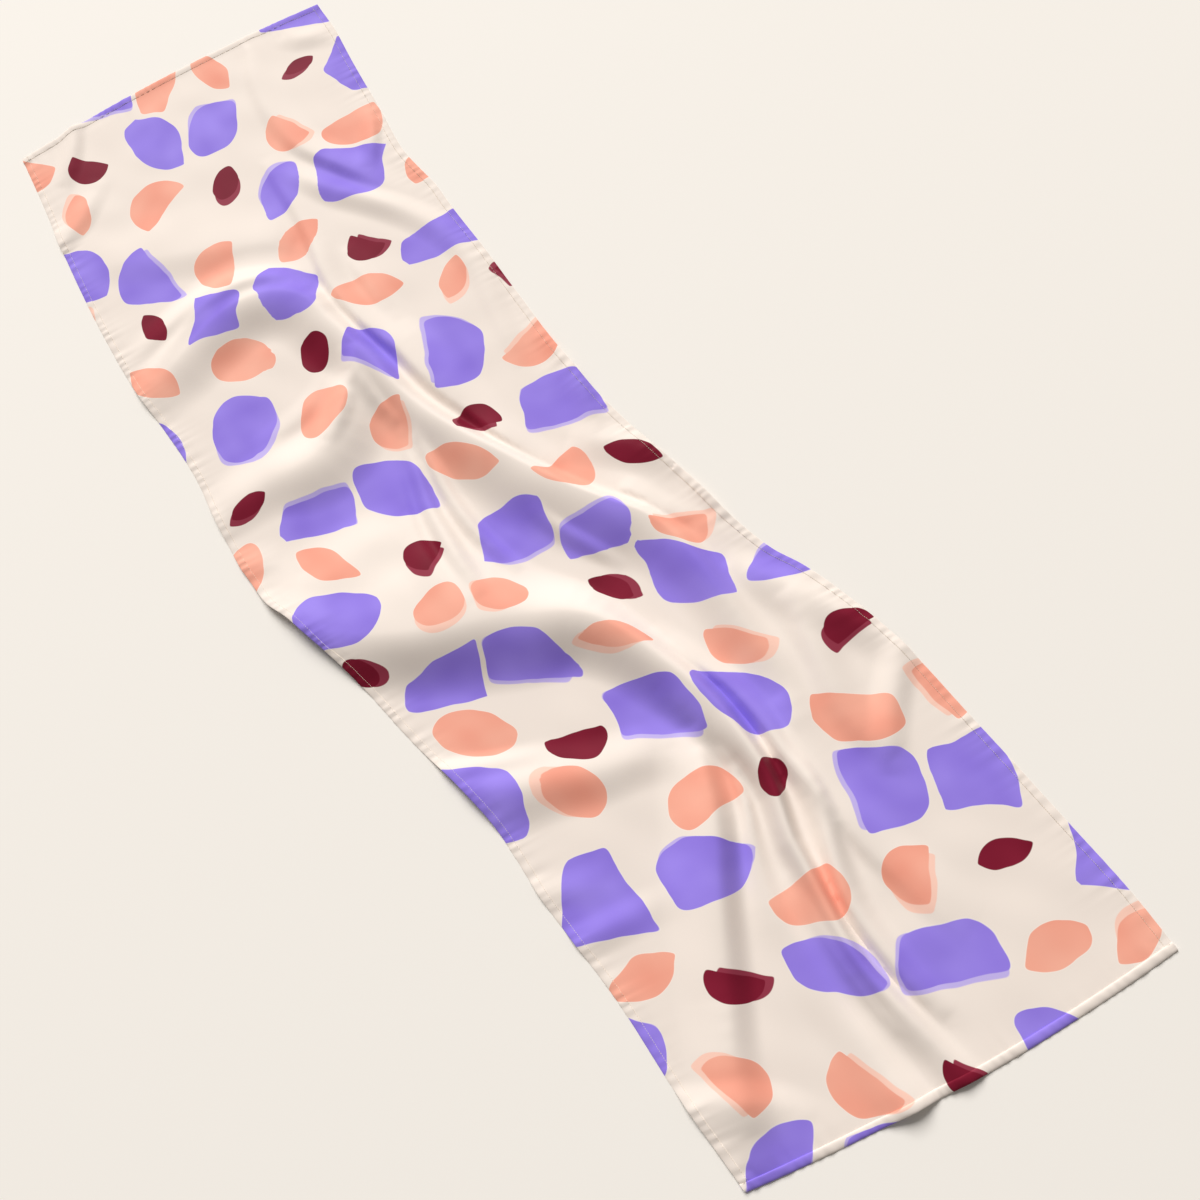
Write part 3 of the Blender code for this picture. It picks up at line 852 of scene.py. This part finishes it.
def linear(hex_colour):
    """Turn an sRGB hex colour into the linear one that a shader takes."""
    channels = [int(hex_colour[i:i + 2], 16) / 255 for i in (1, 3, 5)]
    return [c / 12.92 if c <= 0.04045 else ((c + 0.055) / 1.055) ** 2.4 for c in channels] + [1.0]


def add_node(tree, kind, inputs=None, output=0, **settings):
    """Add a node with its settings, values and links, and give one of its outputs."""
    node = tree.nodes.new(kind)
    for name, value in settings.items():
        setattr(node, name, value)
    for socket, value in (inputs or {}).items():
        if isinstance(value, bpy.types.NodeSocket):
            tree.links.new(value, node.inputs[socket])
        else:
            node.inputs[socket].default_value = value
    return node.outputs[output]


def dab_distance(tree, place, kind, size):
    """Give how far outside a dab each place is, in dab sizes: a half moon, a leaf or a pebble."""
    unit = add_node(tree, "ShaderNodeVectorMath", {0: place, "Scale": size}, operation="SCALE")
    parts = add_node(tree, "ShaderNodeSeparateXYZ", {0: unit})
    height = parts.node.outputs["Y"]

    round_part = add_node(tree, "ShaderNodeVectorMath", {0: unit}, output="Value",
                          operation="LENGTH")
    disc = add_node(tree, "ShaderNodeMath", {0: round_part, 1: 1.0}, operation="SUBTRACT")
    cut = add_node(tree, "ShaderNodeMath", {0: height, 1: -1.0, 2: -HALF_MOON_CUT},
                   operation="MULTIPLY_ADD")
    half_moon = add_node(tree, "ShaderNodeMath", {0: disc, 1: cut, 2: HALF_MOON_CORNER},
                         operation="SMOOTH_MAX")

    upper, lower = [add_node(tree, "ShaderNodeVectorMath", {0: unit, 1: (0, middle, 0)},
                             output="Value", operation="DISTANCE")
                    for middle in LEAF_MIDDLES]
    lens = add_node(tree, "ShaderNodeMath", {0: upper, 1: lower, 2: LEAF_TIP},
                    operation="SMOOTH_MAX")
    leaf = add_node(tree, "ShaderNodeMath", {0: lens, 1: LEAF_RADIUS}, operation="SUBTRACT")

    squashed = add_node(tree, "ShaderNodeVectorMath", {0: unit, 1: (1.0, PEBBLE_SQUASH, 1.0)},
                        operation="MULTIPLY")
    long_part = add_node(tree, "ShaderNodeVectorMath", {0: squashed}, output="Value",
                         operation="LENGTH")
    pebble = add_node(tree, "ShaderNodeMath", {0: long_part, 1: PEBBLE_RADIUS},
                      operation="SUBTRACT")

    is_leaf, is_pebble = [add_node(tree, "ShaderNodeMath", {0: kind, 1: least},
                                   operation="GREATER_THAN")
                          for least in (LEAVES_FROM, PEBBLES_FROM)]
    first = add_node(tree, "ShaderNodeMix", {0: is_leaf, 2: half_moon, 3: leaf})
    return add_node(tree, "ShaderNodeMix", {0: is_pebble, 2: first, 3: pebble})


def print_colour(tree):
    """Build the print and give its colour."""
    cloth = add_node(tree, "ShaderNodeUVMap", uv_map="UVMap")
    metres = add_node(tree, "ShaderNodeVectorMath", {0: cloth, 1: (CLOTH_WIDTH, CLOTH_LENGTH, 1.0)},
                      operation="MULTIPLY")
    brush = add_node(tree, "ShaderNodeTexNoise",
                     {"Vector": metres, "Scale": 1 / BRUSH_LENGTH, "Detail": 2.0, "Roughness": 0.3},
                     output="Color")
    centred = add_node(tree, "ShaderNodeVectorMath", {0: brush, 1: (0.5, 0.5, 0.5)},
                       operation="SUBTRACT")
    wobble = add_node(tree, "ShaderNodeVectorMath", {0: centred, "Scale": BRUSH_WOBBLE},
                      operation="SCALE")
    wobbled = add_node(tree, "ShaderNodeVectorMath", {0: metres, 1: wobble}, operation="ADD")
    cells = add_node(tree, "ShaderNodeMapping",
                     {"Vector": wobbled, "Rotation": (0, 0, MOTIF_TURN),
                      "Scale": (1 / MOTIF_PITCH, 1 / MOTIF_PITCH, 1.0)})
    middle = add_node(tree, "ShaderNodeTexVoronoi",
                      {"Vector": cells, "Scale": 1.0, "Randomness": MOTIF_SCATTER},
                      output="Position", voronoi_dimensions="2D")
    border = add_node(tree, "ShaderNodeTexVoronoi",
                      {"Vector": cells, "Scale": 1.0, "Randomness": MOTIF_SCATTER},
                      output="Distance", voronoi_dimensions="2D", feature="DISTANCE_TO_EDGE")
    place = add_node(tree, "ShaderNodeVectorMath", {0: cells, 1: middle}, operation="SUBTRACT")

    # A dab's turn, kind and size are drawn for its whole cell, so that they hold all over it.
    cell = add_node(tree, "ShaderNodeVectorMath", {0: middle}, operation="FLOOR")
    chance = add_node(tree, "ShaderNodeTexWhiteNoise", {"Vector": cell}, output="Color",
                      noise_dimensions="2D")
    chances = add_node(tree, "ShaderNodeSeparateColor", {0: chance}).node.outputs
    turn = add_node(tree, "ShaderNodeMath", {0: chances[0], 1: 2 * math.pi}, operation="MULTIPLY")
    turned = add_node(tree, "ShaderNodeVectorRotate", {"Vector": place, "Angle": turn},
                      rotation_type="Z_AXIS")

    # Neighbours take different inks: a dab's ink follows from its column and row.
    step = add_node(tree, "ShaderNodeVectorMath", {0: cell, 1: (1.0, 2.0, 0.0)}, output="Value",
                    operation="DOT_PRODUCT")
    order = add_node(tree, "ShaderNodeMath", {0: step, 1: INK_CYCLE}, operation="FLOORED_MODULO")
    is_coral, is_maroon = [add_node(tree, "ShaderNodeMath", {0: order, 1: least},
                                    operation="GREATER_THAN")
                           for least in (CORAL_FROM, MAROON_FROM)]

    violet_size, coral_size, maroon_size = [MOTIF_PITCH / half for _, half in INKS.values()]
    first_size = add_node(tree, "ShaderNodeMix", {0: is_coral, 2: violet_size, 3: coral_size})
    mean_size = add_node(tree, "ShaderNodeMix", {0: is_maroon, 2: first_size, 3: maroon_size})
    spread = add_node(tree, "ShaderNodeMapRange",
                      {0: chances[2], 3: DAB_SCALES[0], 4: DAB_SCALES[1]})
    size = add_node(tree, "ShaderNodeMath", {0: mean_size, 1: spread}, operation="MULTIPLY")

    bare = add_node(tree, "ShaderNodeMath",
                    {0: border, 1: -MOTIF_PITCH, 2: MOTIF_CLEARANCE}, operation="MULTIPLY_ADD")
    coats = []
    inked = []
    for slip in ((0.0, 0.0), SECOND_COAT_SLIP):
        offset = (slip[0] / MOTIF_PITCH, slip[1] / MOTIF_PITCH, 0.0)
        moved = add_node(tree, "ShaderNodeVectorMath", {0: turned, 1: offset}, operation="ADD")
        off = dab_distance(tree, moved, chances[1], size)
        off_size = add_node(tree, "ShaderNodeMath", {0: off, 1: size}, operation="DIVIDE")
        off_metres = add_node(tree, "ShaderNodeMath", {0: off_size, 1: MOTIF_PITCH},
                              operation="MULTIPLY")
        coats.append(add_node(tree, "ShaderNodeMath", {0: off_metres, 1: bare, 2: DAB_ROUNDING},
                              operation="SMOOTH_MAX"))
        inked.append(add_node(tree, "ShaderNodeMapRange",
                              {0: coats[-1], 1: -INK_EDGE, 2: INK_EDGE, 3: 1.0, 4: 0.0}))
    has_second = add_node(tree, "ShaderNodeMath", {0: chances[2], 1: SECOND_COAT_FROM},
                          operation="GREATER_THAN")
    second_coat = add_node(tree, "ShaderNodeMath", {0: inked[1], 1: has_second},
                           operation="MULTIPLY")
    near_line = add_node(tree, "ShaderNodeMapRange",
                         {0: coats[0], 1: 0.0, 2: BARE_LINE, 3: BARE_LINE_STRENGTH, 4: 0.0})

    wash = add_node(tree, "ShaderNodeTexNoise",
                    {"Vector": metres, "Scale": 1 / WASH_LENGTH, "Detail": 1.0})
    washed = add_node(tree, "ShaderNodeMapRange", {0: wash, 1: 0.25, 2: 0.75})
    ink_colour = None
    lip_colour = None
    for ink, chosen in (("violet", None), ("coral", is_coral), ("maroon", is_maroon)):
        deep, light, thin = [linear(colour) for colour in INKS[ink][0]]
        shade = add_node(tree, "ShaderNodeMix", {0: washed, 6: deep, 7: light}, output=2,
                         data_type="RGBA")
        if chosen is None:
            ink_colour = shade
            lip_colour = thin
            continue
        ink_colour = add_node(tree, "ShaderNodeMix", {0: chosen, 6: ink_colour, 7: shade}, output=2,
                              data_type="RGBA")
        lip_colour = add_node(tree, "ShaderNodeMix", {0: chosen, 6: lip_colour, 7: thin}, output=2,
                              data_type="RGBA")

    colour = linear(CREAM)
    for share, over in ((near_line, linear(BARE_CREAM)), (second_coat, lip_colour),
                        (inked[0], ink_colour)):
        colour = add_node(tree, "ShaderNodeMix", {0: share, 6: colour, 7: over}, output=2,
                          data_type="RGBA")
    return colour


def satin_threads(tree):
    """Give the normal of a satin weave: long floats along the cloth, bound down in steps."""
    cloth = add_node(tree, "ShaderNodeUVMap", uv_map="UVMap")
    threads = add_node(tree, "ShaderNodeMapping",
                       {"Vector": cloth,
                        "Scale": (CLOTH_WIDTH / THREAD_PITCH,
                                  CLOTH_LENGTH / THREAD_PITCH / FLOAT_OVER, 1.0)})
    floats = add_node(tree, "ShaderNodeTexNoise",
                      {"Vector": threads, "Scale": 1.0, "Detail": 1.0},
                      noise_dimensions="2D")
    return add_node(tree, "ShaderNodeBump", {"Height": floats, "Strength": 0.25,
                                             "Distance": 0.05 * MM})


# Satin-woven polyester, dyed cream and printed: smooth long threads on its face give soft,
# wide highlights, and the ink is thin enough to keep them.
printed_satin = bpy.data.materials.new("printed_polyester_satin")
printed_satin.use_nodes = True
satin_tree = printed_satin.node_tree
satin_shader = satin_tree.nodes["Principled BSDF"]
satin_shader.inputs["Roughness"].default_value = 0.5
satin_shader.inputs["IOR"].default_value = 1.45
satin_shader.inputs["Specular IOR Level"].default_value = 0.06
satin_shader.inputs["Sheen Weight"].default_value = 0.03
satin_shader.inputs["Sheen Roughness"].default_value = 0.4
satin_tree.links.new(print_colour(satin_tree), satin_shader.inputs["Base Color"])
satin_tree.links.new(satin_threads(satin_tree), satin_shader.inputs["Normal"])
panel.data.materials.clear()
panel.data.materials.append(printed_satin)

# --------------------------------------------------------------------------
# The hems: each edge of the cloth is folded under twice, so that it ends in a flat padded
# band of three layers. The ends are turned after the sides, so their bands run the whole
# width and the side bands stop against them.
HEM_STEP = 2.6 * MM         # between two sections of a band
HEM_SECTION = (
    # inward, height, both in mm
    (9.8, 0.30),
    (9.5, 1.05),
    (8.9, 1.35),
    (7.2, 1.62),
    (5.0, 1.70),
    (3.0, 1.52),
    (1.5, 1.20),
    (0.6, 0.80),
    (0.2, 0.45),
    (0.6, 0.12),
    (2.0, 0.0),
    (5.0, 0.0),
    (8.0, 0.0),
    (9.5, 0.06),
)
HEM_TOP_POINTS = 9          # the section's first points are on the printed side
HEM_FULLNESS = {"side": 0.72, "near": 1.35, "far": 0.5}     # of the section's height
HEM_DIMPLE = 0.16           # how much fuller or flatter a band is between its puckers
HEM_DIMPLE_LAG = 1.2        # how far its fullest places lie from them, in radians
SIDE_BAND_TUCK = 0.6 * MM   # a side band runs this far under an end band
END_BAND_INSET = 0.2 * MM   # an end band's own ends lie this far in from the sides
WELD = 0.002 * MM           # points of a band that lie closer than this are one
PROBE = 0.5 * MM            # the cloth's slope at a point is read this far to either side


def cloth_normals(across, along):
    """Give the unit normals of the lying cloth, on its printed side."""
    run_across = cloth_points(across + PROBE, along) - cloth_points(across - PROBE, along)
    run_along = cloth_points(across, along + PROBE) - cloth_points(across, along - PROBE)
    normal = np.cross(run_across, run_along)
    return normal / np.linalg.norm(normal, axis=1)[:, None]


def hem_band(name, node, place_on_cloth, first, last, fullness):
    """Make one closed band; place_on_cloth(inward, place) gives across and along."""
    section = np.array(HEM_SECTION) * MM
    count = int(round((last - first) / HEM_STEP))
    places = np.linspace(first, last, count + 1)
    band, column, row = grid_piece(name, len(section) + 1, len(places))
    point = column % len(section)
    inward = section[point, 0]
    height = section[point, 1]
    across, along = place_on_cloth(inward, places[row])
    swell = 2 * math.pi * places[row] / PUCKER_LENGTH
    dimple = 1 + HEM_DIMPLE * np.sin(drifting(swell) + HEM_DIMPLE_LAG)
    normals = in_chunks(cloth_normals, across, along)
    base = in_chunks(cloth_points, across, along)
    shape = base + (height * fullness * dimple)[:, None] * normals
    shape[:, 2] += seam_gathers(across, along)
    band.data.vertices.foreach_set("co", shape.astype(np.float32).ravel())
    on_top = np.where(column < HEM_TOP_POINTS, inward, -inward)
    print_across, print_along = place_on_cloth(on_top, places[row])
    lay_print(band.data, print_across, print_along)
    bpy.ops.object.mode_set(mode="EDIT")
    bpy.ops.mesh.select_all(action="SELECT")
    bpy.ops.mesh.remove_doubles(threshold=WELD)
    bpy.ops.mesh.select_all(action="SELECT")
    bpy.ops.mesh.fill_holes(sides=0)
    bpy.ops.mesh.select_all(action="SELECT")
    bpy.ops.mesh.normals_make_consistent(inside=False)
    bpy.ops.object.mode_set(mode="OBJECT")
    bpy.ops.object.shade_smooth_by_angle(angle=SMOOTH_UP_TO)
    band.data.materials.clear()
    band.data.materials.append(printed_satin)
    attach(band, "root")
    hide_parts(node)
    return band


def from_left(inward, place):
    return inward, place


def from_right(inward, place):
    return CLOTH_WIDTH - inward, place


def from_near(inward, place):
    return place, inward


def from_far(inward, place):
    return place, CLOTH_LENGTH - inward


side_start = HEM_WIDTH - SIDE_BAND_TUCK
side_end = CLOTH_LENGTH - side_start
end_start = END_BAND_INSET
end_end = CLOTH_WIDTH - end_start
hems = [
    hem_band("hem_band_left", "hem_left", from_left, side_start, side_end, HEM_FULLNESS["side"]),
    hem_band("hem_band_right", "hem_right", from_right, side_start, side_end, HEM_FULLNESS["side"]),
    hem_band("hem_band_near", "hem_near", from_near, end_start, end_end, HEM_FULLNESS["near"]),
    hem_band("hem_band_far", "hem_far", from_far, end_start, end_end, HEM_FULLNESS["far"]),
]

# --------------------------------------------------------------------------
# The stitching: one row of lockstitch along the inner side of each hem, in cream polyester
# thread. The rows run on to the edges, so they cross at the corners.
STITCH_PITCH = 2.6 * MM
STITCH_LENGTH = 2.0 * MM
THREAD_THICKNESS = 0.42 * MM
STITCH_INWARD = 9.2 * MM
STITCH_SIDES = 6
STITCH_BEVEL = 0.12 * MM
STITCH_HEIGHTS = (
    # from the row's end, height over the cloth, both in mm
    (0, 1.2),
    (5, 1.75),
    (9.6, 1.02),
)
FAR_STITCH_SINK = 0.22 * MM     # the far hem is the flattest, so its stitches lie lower
THREAD_COLOUR = "#F0E4D2"


def one_stitch():
    """Model one stitch that lies along Y, and give its points and faces."""
    bpy.ops.object.select_all(action="DESELECT")
    bpy.ops.mesh.primitive_cylinder_add(
        vertices=STITCH_SIDES,
        radius=THREAD_THICKNESS / 2,
        depth=STITCH_LENGTH,
        rotation=(math.pi / 2, 0, 0),
    )
    stitch = bpy.context.object
    bpy.ops.object.transform_apply(location=False, rotation=True, scale=False)
    bpy.ops.object.mode_set(mode="EDIT")
    bpy.ops.mesh.select_all(action="SELECT")
    bpy.ops.mesh.bevel(offset=STITCH_BEVEL, segments=1, affect="EDGES")
    bpy.ops.object.mode_set(mode="OBJECT")
    points = np.array([vert.co[:] for vert in stitch.data.vertices])
    faces = [tuple(face.vertices) for face in stitch.data.polygons]
    bpy.data.objects.remove(stitch, do_unlink=True)
    return points, faces


def stitch_row(place_on_cloth, length, sink, points, faces, found_points, found_faces):
    """Copy the stitch along one row, each on the cloth and turned along the seam."""
    count = int(length / STITCH_PITCH)
    spare = (length - count * STITCH_PITCH) / 2
    places = spare + STITCH_PITCH * (np.arange(count) + 0.5)
    inward = np.full(count, STITCH_INWARD)
    across, along = place_on_cloth(inward, places)
    ahead_across, ahead_along = place_on_cloth(inward, places + PROBE)
    here = cloth_points(across, along)
    normal = cloth_normals(across, along)
    run = cloth_points(ahead_across, ahead_along) - here
    run = run / np.linalg.norm(run, axis=1)[:, None]
    sideways = np.cross(run, normal)
    from_end, heights = np.array(STITCH_HEIGHTS).T * MM
    band_height = np.interp(np.minimum(places, length - places), from_end, heights)
    here = here + (band_height - sink + seam_gathers(across, along))[:, None] * normal
    for middle, aside, ahead, upward in zip(here, sideways, run, normal):
        first = len(found_points)
        placed = middle + points[:, :1] * aside + points[:, 1:2] * ahead + points[:, 2:] * upward
        found_points.extend(placed.tolist())
        found_faces.extend([tuple(first + index for index in face) for face in faces])


stitch_points, stitch_faces = one_stitch()
row_points = []
row_faces = []
for place_on_cloth, length, sink in (
    (from_left, CLOTH_LENGTH, 0.0),
    (from_right, CLOTH_LENGTH, 0.0),
    (from_near, CLOTH_WIDTH, 0.0),
    (from_far, CLOTH_WIDTH, FAR_STITCH_SINK),
):
    stitch_row(place_on_cloth, length, sink, stitch_points, stitch_faces, row_points, row_faces)
stitch_mesh = bpy.data.meshes.new("hem_stitches")
stitch_mesh.from_pydata(row_points, [], row_faces)
stitches = bpy.data.objects.new("hem_stitches", stitch_mesh)
bpy.context.scene.collection.objects.link(stitches)
bpy.ops.object.select_all(action="DESELECT")
bpy.context.view_layer.objects.active = stitches
stitches.select_set(True)
bpy.ops.object.mode_set(mode="EDIT")
bpy.ops.mesh.select_all(action="SELECT")
bpy.ops.mesh.normals_make_consistent(inside=False)
bpy.ops.object.mode_set(mode="OBJECT")
bpy.ops.object.shade_smooth_by_angle(angle=SMOOTH_UP_TO)

# Spun polyester sewing thread: matt beside the satin, and twisted too finely to show.
thread = bpy.data.materials.new("spun_polyester_thread")
thread.use_nodes = True
thread_shader = thread.node_tree.nodes["Principled BSDF"]
thread_shader.inputs["Base Color"].default_value = linear(THREAD_COLOUR)
thread_shader.inputs["Roughness"].default_value = 0.6
stitches.data.materials.append(thread)
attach(stitches, "root")

# --------------------------------------------------------------------------
# The table: a plain pale floor under the cloth, matt and very slightly warm.
FLOOR_COLOUR = "#F4EFE9"
FLOOR_SIZE = 12
FLOOR_GAP = 0.2 * MM        # the floor lies this far under the cloth
bpy.ops.object.select_all(action="DESELECT")
bpy.ops.mesh.primitive_plane_add(size=FLOOR_SIZE, location=(0, 0, -FLOOR_GAP))
floor = bpy.context.object
floor.name = "floor"
floor_paint = bpy.data.materials.new("matt_floor_paint")
floor_paint.use_nodes = True
floor_tree = floor_paint.node_tree
floor_shader = floor_tree.nodes["Principled BSDF"]
floor_shader.inputs["Base Color"].default_value = linear(FLOOR_COLOUR)
floor_shader.inputs["Roughness"].default_value = 0.9
floor.data.materials.append(floor_paint)

# --------------------------------------------------------------------------
# The camera stands over the near end and looks down at it, 20 degrees off straight down,
# and is turned so that the cloth runs from the upper left to the lower right.
CAMERA_PLACE = (-64.6 * MM, -678.8 * MM, 1330 * MM)
CAMERA_HEADING = math.radians(-13.07)
CAMERA_TILT = math.radians(20)
CAMERA_ROLL = math.radians(-25)
LENS_MM = 36
SENSOR_MM = 36

camera_data = bpy.data.cameras.new("camera")
camera_data.lens = LENS_MM
camera_data.sensor_width = SENSOR_MM
camera_data.clip_end = 50
camera = bpy.data.objects.new("camera", camera_data)
bpy.context.scene.collection.objects.link(camera)
camera_turn = (
    Matrix.Rotation(CAMERA_HEADING, 4, "Z")
    @ Matrix.Rotation(CAMERA_TILT, 4, "X")
    @ Matrix.Rotation(CAMERA_ROLL, 4, "Z")
)
camera.matrix_world = Matrix.Translation(CAMERA_PLACE) @ camera_turn
bpy.context.scene.camera = camera

# --------------------------------------------------------------------------
# The light: one big soft box past the picture's upper side, and a pale room all round.
PICTURE_UP = (camera_turn @ Vector((0, 1, 0))).to_2d().normalized()
PICTURE_RIGHT = Vector((PICTURE_UP.y, -PICTURE_UP.x))
SOFT_BOX_SIZE = 19
SOFT_BOX_HEIGHT = 20.8
SOFT_BOX_UP = 22.6
SOFT_BOX_LEFT = 10.0
SOFT_BOX_POWER = 13850
SOFT_BOX_TINT = (1.0, 0.985, 0.96)
ROOM_COLOUR = "#FFFCF6"
ROOM_STRENGTH = 0.22

box_data = bpy.data.lights.new("soft_box", "AREA")
box_data.shape = "SQUARE"
box_data.size = SOFT_BOX_SIZE
box_data.energy = SOFT_BOX_POWER
box_data.color = SOFT_BOX_TINT
soft_box = bpy.data.objects.new("soft_box", box_data)
bpy.context.scene.collection.objects.link(soft_box)
box_plan = PICTURE_UP * SOFT_BOX_UP - PICTURE_RIGHT * SOFT_BOX_LEFT
soft_box.location = (box_plan.x, box_plan.y, SOFT_BOX_HEIGHT)
soft_box.rotation_euler = (-Vector(soft_box.location)).to_track_quat("-Z", "Y").to_euler()

room = bpy.data.worlds.new("room")
room.use_nodes = True
room.node_tree.nodes["Background"].inputs["Color"].default_value = linear(ROOM_COLOUR)
room.node_tree.nodes["Background"].inputs["Strength"].default_value = ROOM_STRENGTH
bpy.context.scene.world = room
bpy.context.scene.view_settings.view_transform = "Standard"
